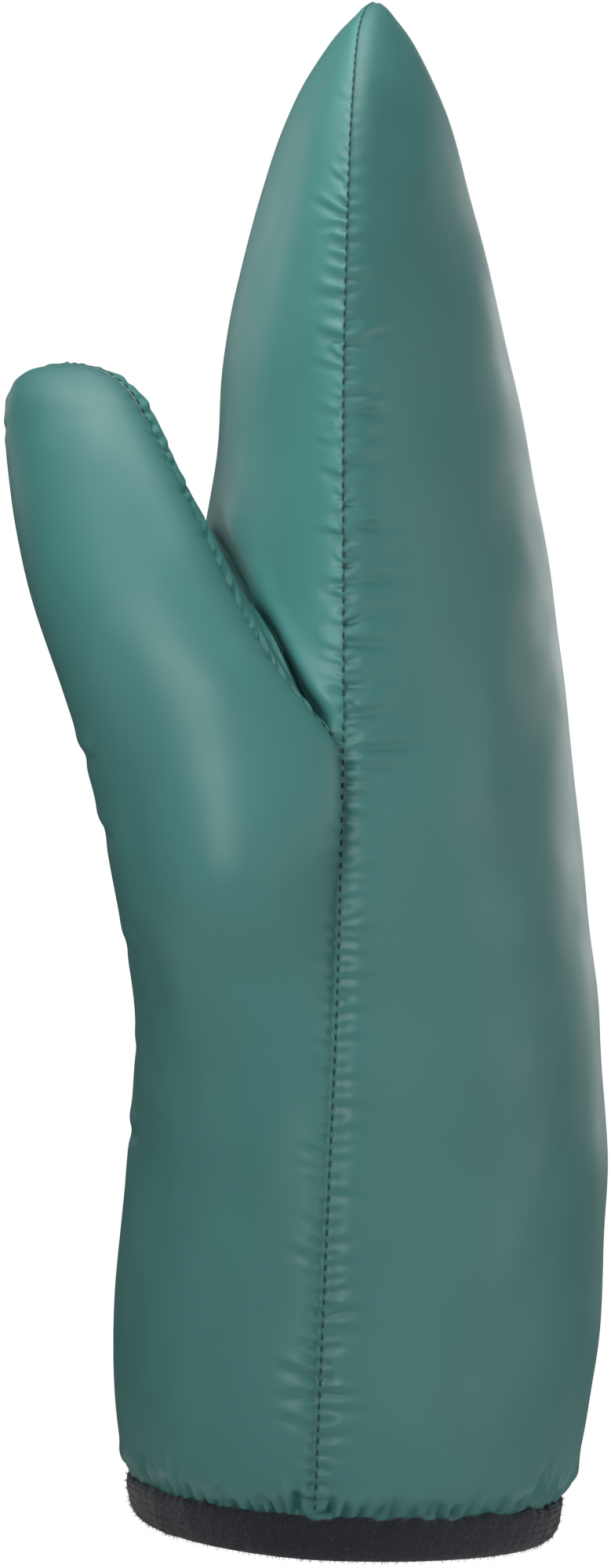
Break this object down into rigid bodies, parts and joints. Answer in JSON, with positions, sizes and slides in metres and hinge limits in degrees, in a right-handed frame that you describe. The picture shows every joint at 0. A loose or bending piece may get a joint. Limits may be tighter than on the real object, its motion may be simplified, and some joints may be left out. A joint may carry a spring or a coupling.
{
  "type": "padded mitten",
  "caption": "Padded right-hand mitten, standing in its worn shape: satin shell panels sewn along the sides and the thumb, with a knitted binding round the open cuff.",
  "frame": {"origin": "centre of the cuff's opening, where the hand goes in", "axes": "+Z from the cuff to the fingertips, -X towards the palm, +X towards the back of the hand, -Y towards the index finger and thumb side, +Y towards the little finger side"},
  "size_m": [0.1135, 0.1198, 0.2929],
  "materials": {
    "shell": "satin woven nylon over padding, muted teal green, puckered along the seams",
    "binding": "matt fuzzy knitted tape, very dark navy"
  },
  "bodies": {
    "root": {"back_panel": "shell", "finger_panel": "shell", "thumb_panel": "shell", "cuff_binding": "binding"}
  },
  "joints": []
}
